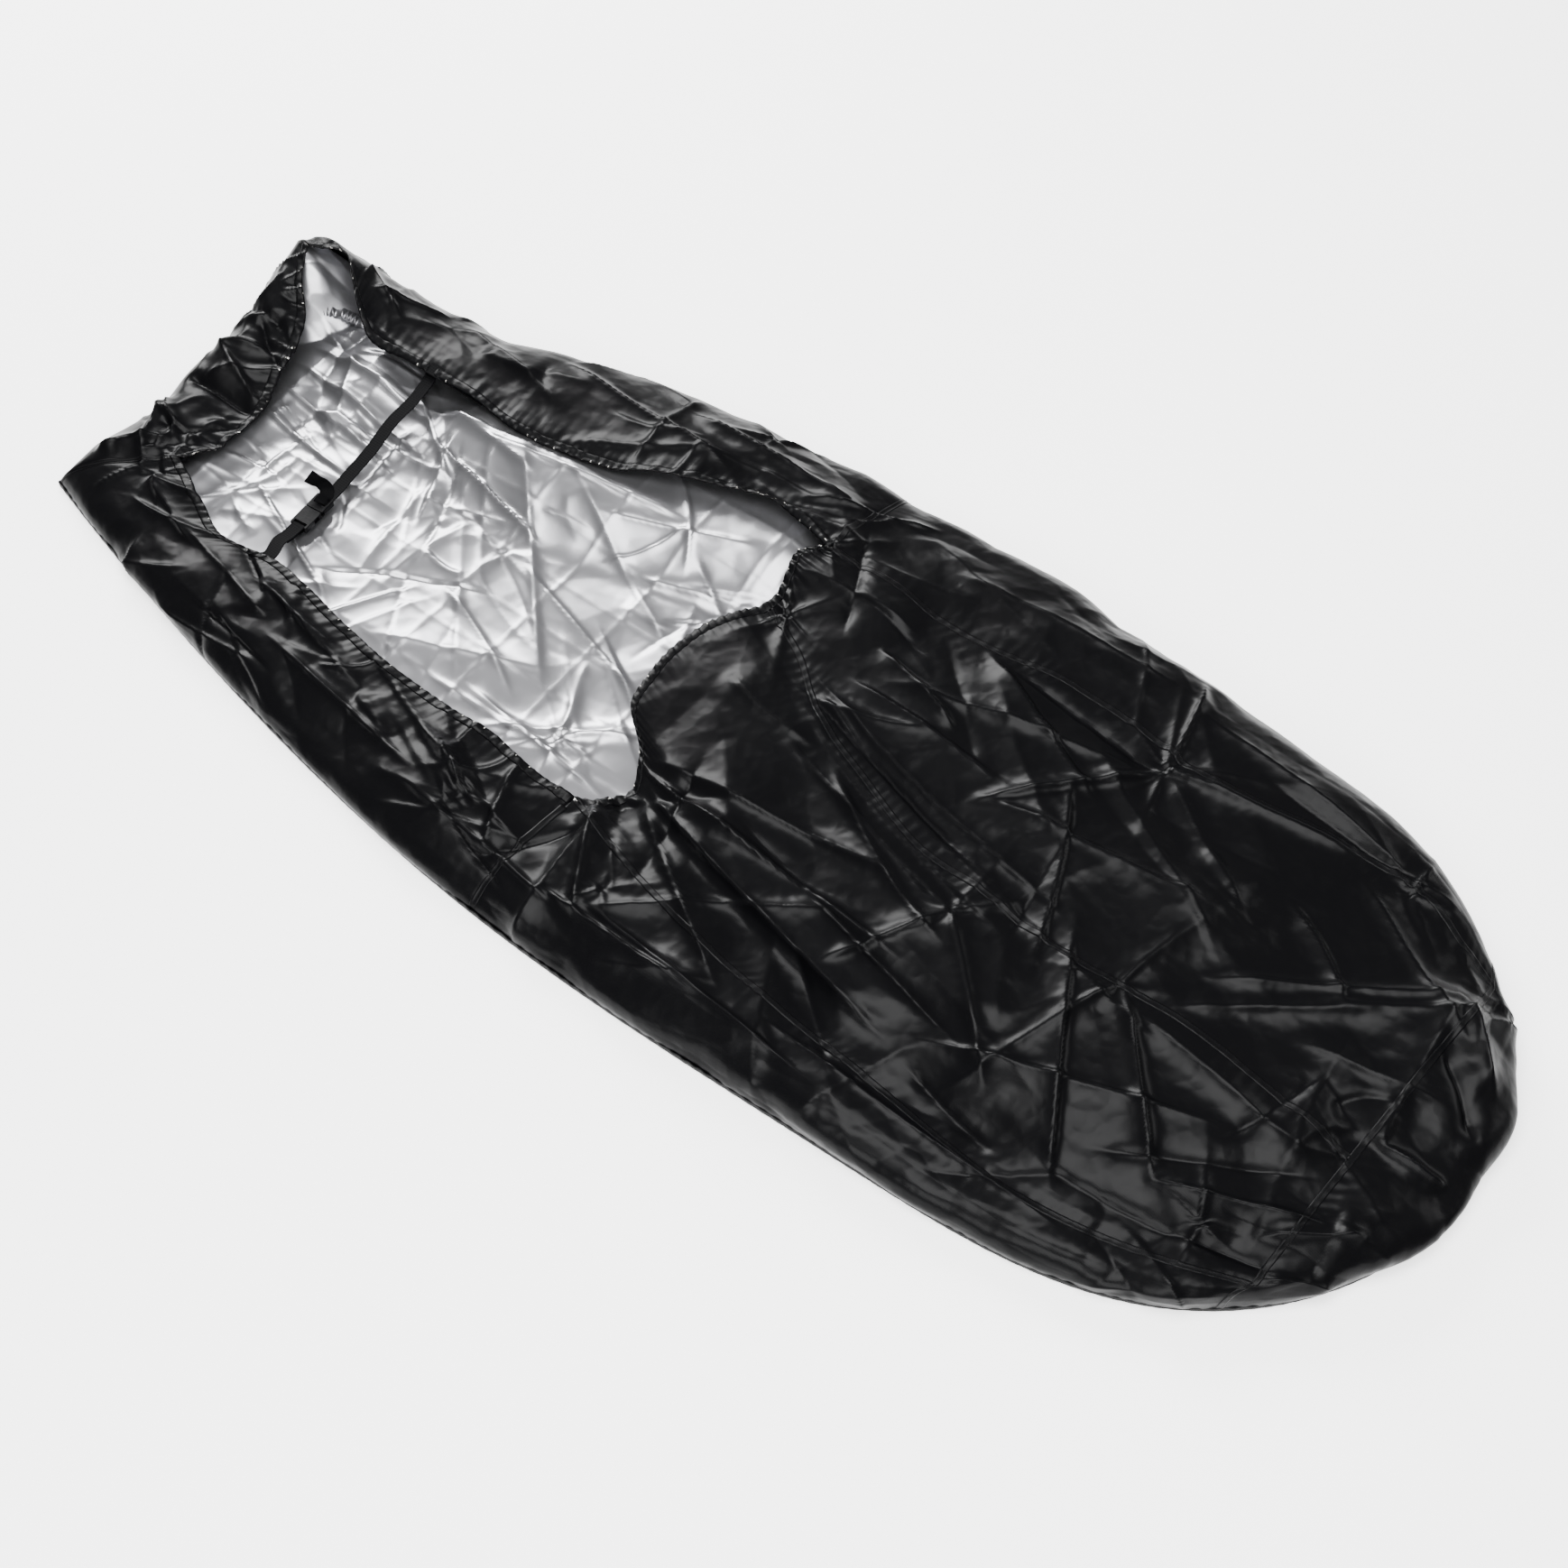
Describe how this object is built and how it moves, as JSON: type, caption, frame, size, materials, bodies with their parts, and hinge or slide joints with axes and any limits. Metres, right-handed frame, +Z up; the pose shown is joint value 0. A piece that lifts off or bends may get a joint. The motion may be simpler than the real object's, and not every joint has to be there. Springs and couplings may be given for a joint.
{
  "type": "bivy sack",
  "caption": "Bivy sack lying open: black coated fabric shell, silver inside, elastic-hemmed mouth at the head end and a buckled webbing strap across it.",
  "frame": {"origin": "on the ground, at the centre of the sack's plan", "axes": "+X to the foot, +Y to the sleeper's left, +Z up"},
  "size_m": [2.115, 0.8777, 0.112],
  "materials": {
    "black_coated_fabric": "glossy coated plain weave",
    "silver_coated_fabric": "metallised silver coating on the inside of the black fabric",
    "seam_fabric": "folded and sewn",
    "binding_tape": "woven tape",
    "hem_fabric": "gathered casing",
    "elastic": "braided elastic",
    "webbing": "flat woven webbing",
    "thread": "dense zigzag stitches",
    "buckle_plastic": "moulded acetal"
  },
  "bodies": {
    "sack": {"floor_panel": "silver_coated_fabric", "foot_end_panel": "black_coated_fabric", "head_end_panel": "black_coated_fabric", "left_side_foot_panel": "black_coated_fabric", "left_side_head_panel": "black_coated_fabric", "right_side_foot_panel": "black_coated_fabric", "right_side_head_panel": "black_coated_fabric", "top_left_panel": "black_coated_fabric", "top_right_panel": "black_coated_fabric", "left_corner_seam": "seam_fabric", "right_corner_seam": "seam_fabric", "left_cross_seam": "seam_fabric", "right_cross_seam": "seam_fabric", "left_top_seam": "seam_fabric", "right_top_seam": "seam_fabric", "centre_seam": "seam_fabric", "foot_end_seam": "seam_fabric", "left_floor_tape": "binding_tape", "right_floor_tape": "binding_tape", "head_floor_tape": "binding_tape", "left_hem": "hem_fabric", "right_hem": "hem_fabric", "head_hem": "hem_fabric", "foot_hem": "hem_fabric", "hem_elastic": "elastic", "left_strap_tab": "webbing", "right_strap_tab": "webbing", "short_strap": "webbing", "long_strap": "webbing", "strap_bartacks": "thread", "buckle_socket": "buckle_plastic"},
    "plug": {"buckle_plug": "buckle_plastic", "strap_end": "webbing"},
    "left_arm": {"buckle_left_arm": "buckle_plastic"},
    "right_arm": {"buckle_right_arm": "buckle_plastic"}
  },
  "joints": [
    {"name": "plug_unclip", "type": "slide", "parent": "sack", "child": "plug", "axis": [-0.1132, 0.9936, 0], "range_m": [0, 0.022]},
    {"name": "left_arm_squeeze", "type": "hinge", "parent": "plug", "child": "left_arm", "pos_m": [-0.7047, -0.09592, 0.026], "axis": [0, 0, -1], "range_deg": [0, 12.5]},
    {"name": "right_arm_squeeze", "type": "hinge", "parent": "plug", "child": "right_arm", "pos_m": [-0.72398, -0.09812, 0.026], "axis": [0, 0, 1], "range_deg": [0, 12.5]}
  ],
  "couplings": [
    {"joint": "left_arm_squeeze", "follows": "plug_unclip", "rad_per_m": 9.85},
    {"joint": "right_arm_squeeze", "follows": "plug_unclip", "rad_per_m": 9.85}
  ]
}
